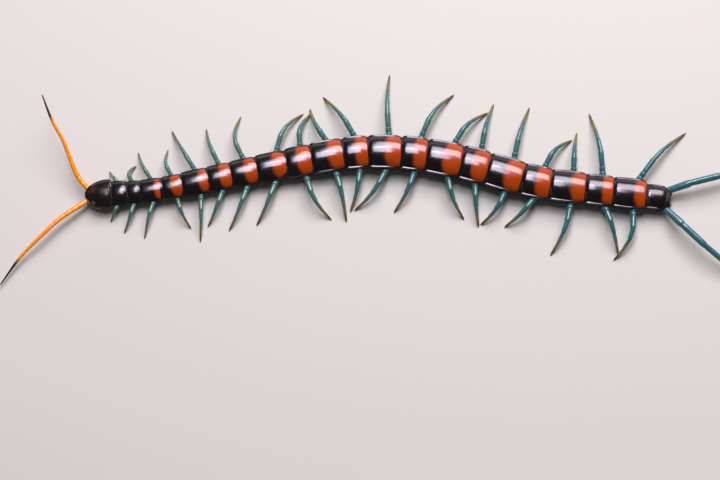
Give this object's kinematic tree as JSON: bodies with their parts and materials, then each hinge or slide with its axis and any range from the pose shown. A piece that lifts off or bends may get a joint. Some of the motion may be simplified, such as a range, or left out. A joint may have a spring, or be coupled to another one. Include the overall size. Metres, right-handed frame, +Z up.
{
  "type": "giant centipede",
  "caption": "Life-size giant centipede standing in a gentle curve, with banded back plates, paired jointed legs, long feelers and trailing hind legs.",
  "frame": {"origin": "middle of the outline's box in plan, at the level of the floor that the feet stand on", "axes": "+X from the head towards the tail, +Y towards the animal's right side, +Z up"},
  "size_m": [0.1562, 0.0447, 0.0081],
  "materials": {
    "back_plate": "very glossy near-black horny plate with an orange rear band",
    "head_plate": "glossy near-black horny plate with a faint brown cast",
    "leg_skin": "glossy blue-green horn that fades to olive at the foot",
    "feeler_skin": "satin orange horn with a dark end",
    "claw_horn": "glossy dark red-brown horn",
    "belly_plate": "satin olive-brown horny plate",
    "flank_skin": "dull dark folded skin between the plates",
    "eye_lens": "black glassy bead"
  },
  "bodies": {
    "root": {"head": "head_plate", "antenna_left": "feeler_skin", "antenna_right": "feeler_skin", "venom_claw_left": "claw_horn", "venom_claw_right": "claw_horn", "trunk_01": "back_plate", "trunk_02_03": "back_plate", "trunk_04_05": "back_plate", "trunk_06_07": "back_plate", "trunk_08_09": "back_plate", "trunk_10_11": "back_plate", "trunk_12_13": "back_plate", "trunk_14_15": "back_plate", "trunk_16_17": "back_plate", "trunk_18_19": "back_plate", "trunk_20_21": "back_plate", "leg_left_01": "leg_skin", "leg_left_02": "leg_skin", "leg_left_03": "leg_skin", "leg_left_04": "leg_skin", "leg_left_05": "leg_skin", "leg_left_06": "leg_skin", "leg_left_07": "leg_skin", "leg_left_08": "leg_skin", "leg_left_09": "leg_skin", "leg_left_10": "leg_skin", "leg_left_11": "leg_skin", "leg_left_12": "leg_skin", "leg_left_13": "leg_skin", "leg_left_14": "leg_skin", "leg_left_15": "leg_skin", "leg_left_16": "leg_skin", "leg_left_17": "leg_skin", "leg_left_18": "leg_skin", "leg_left_19": "leg_skin", "leg_left_20": "leg_skin", "leg_left_21": "leg_skin", "leg_right_01": "leg_skin", "leg_right_02": "leg_skin", "leg_right_03": "leg_skin", "leg_right_04": "leg_skin", "leg_right_05": "leg_skin", "leg_right_06": "leg_skin", "leg_right_07": "leg_skin", "leg_right_08": "leg_skin", "leg_right_09": "leg_skin", "leg_right_10": "leg_skin", "leg_right_11": "leg_skin", "leg_right_12": "leg_skin", "leg_right_13": "leg_skin", "leg_right_14": "leg_skin", "leg_right_15": "leg_skin", "leg_right_16": "leg_skin", "leg_right_17": "leg_skin", "leg_right_18": "leg_skin", "leg_right_19": "leg_skin", "leg_right_20": "leg_skin", "leg_right_21": "leg_skin"}
  },
  "joints": []
}
